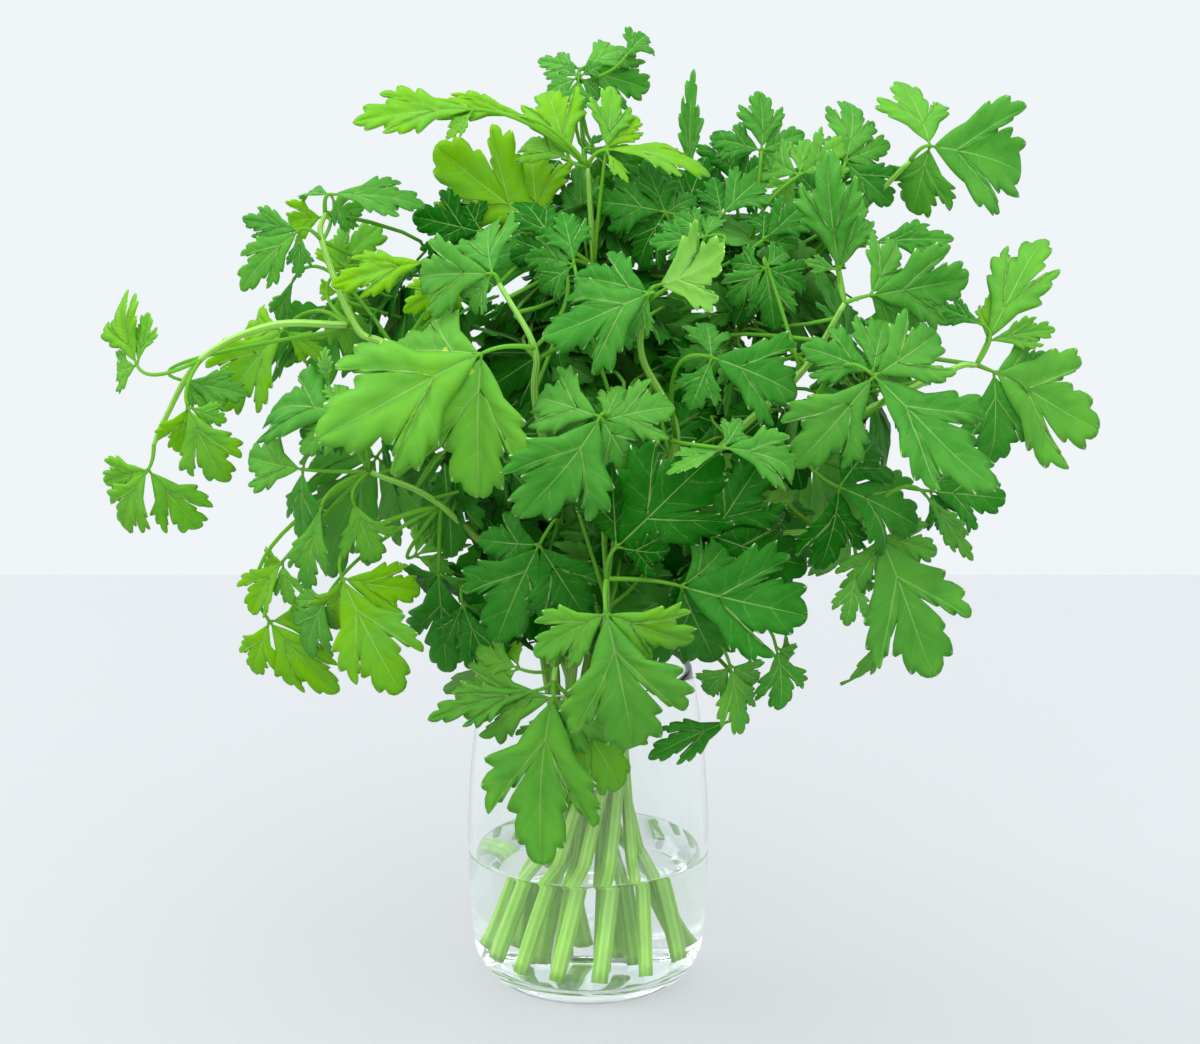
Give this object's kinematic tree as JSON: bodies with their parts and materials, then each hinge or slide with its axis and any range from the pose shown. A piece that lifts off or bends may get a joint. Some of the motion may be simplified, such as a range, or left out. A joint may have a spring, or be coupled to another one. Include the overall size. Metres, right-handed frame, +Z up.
{
  "type": "parsley bunch",
  "caption": "Bunch of flat-leaf parsley standing in a clear glass jar of water, with long crossing stalks and an airy dome of lobed leaves.",
  "frame": {"origin": "centre of the jar's flat underside, on the surface that it stands on", "axes": "+Z up; -Y is the front, the side that the big front leaves face; +X is to the right as seen from the front"},
  "size_m": [0.3326, 0.2106, 0.3197],
  "materials": {
    "clear_glass": "clear, colourless, polished, with a faint grey-green edge",
    "water": "clear still water",
    "green_stalk": "fresh light green stalk, ribbed along its length, slightly glossy",
    "leaf_green": "fresh leaf, mid green above with pale veins, paler and matte below, lets light through"
  },
  "bodies": {
    "root": {"branch_arch": "green_stalk", "jar": "clear_glass", "leaf_arch_1": "leaf_green", "leaf_arch_2": "leaf_green", "leaf_arch_branch_1": "leaf_green", "leaf_arch_branch_2": "leaf_green", "leaf_arch_branch_3": "leaf_green", "leaf_arch_branch_4": "leaf_green", "leaf_back_left_1": "leaf_green", "leaf_back_left_2": "leaf_green", "leaf_back_middle_1": "leaf_green", "leaf_back_middle_2": "leaf_green", "leaf_back_middle_3": "leaf_green", "leaf_back_right_1": "leaf_green", "leaf_back_right_2": "leaf_green", "leaf_back_right_3": "leaf_green", "leaf_crown_1": "leaf_green", "leaf_far_right_1": "leaf_green", "leaf_front_high_1": "leaf_green", "leaf_front_middle_1": "leaf_green", "leaf_front_middle_2": "leaf_green", "leaf_front_middle_3": "leaf_green", "leaf_front_right_1": "leaf_green", "leaf_front_right_2": "leaf_green", "leaf_front_right_3": "leaf_green", "leaf_left_big_1": "leaf_green", "leaf_left_low_1": "leaf_green", "leaf_left_low_2": "leaf_green", "leaf_left_low_3": "leaf_green", "leaf_left_low_4": "leaf_green", "leaf_left_low_5": "leaf_green", "leaf_left_low_6": "leaf_green", "leaf_right_high_1": "leaf_green", "leaf_right_high_2": "leaf_green", "leaf_right_high_3": "leaf_green", "leaf_right_low_1": "leaf_green", "leaf_right_top_1": "leaf_green", "leaf_right_top_2": "leaf_green", "leaf_rim_front_1": "leaf_green", "leaf_rim_front_2": "leaf_green", "leaf_top_1": "leaf_green", "leaf_top_2": "leaf_green", "leaf_top_3": "leaf_green", "stalk_arch": "green_stalk", "stalk_back_left": "green_stalk", "stalk_back_middle": "green_stalk", "stalk_back_right": "green_stalk", "stalk_crown": "green_stalk", "stalk_far_right": "green_stalk", "stalk_front_high": "green_stalk", "stalk_front_middle": "green_stalk", "stalk_front_right": "green_stalk", "stalk_left_big": "green_stalk", "stalk_left_low": "green_stalk", "stalk_right_high": "green_stalk", "stalk_right_low": "green_stalk", "stalk_right_top": "green_stalk", "stalk_rim_front": "green_stalk", "stalk_top": "green_stalk", "water": "water"}
  },
  "joints": []
}
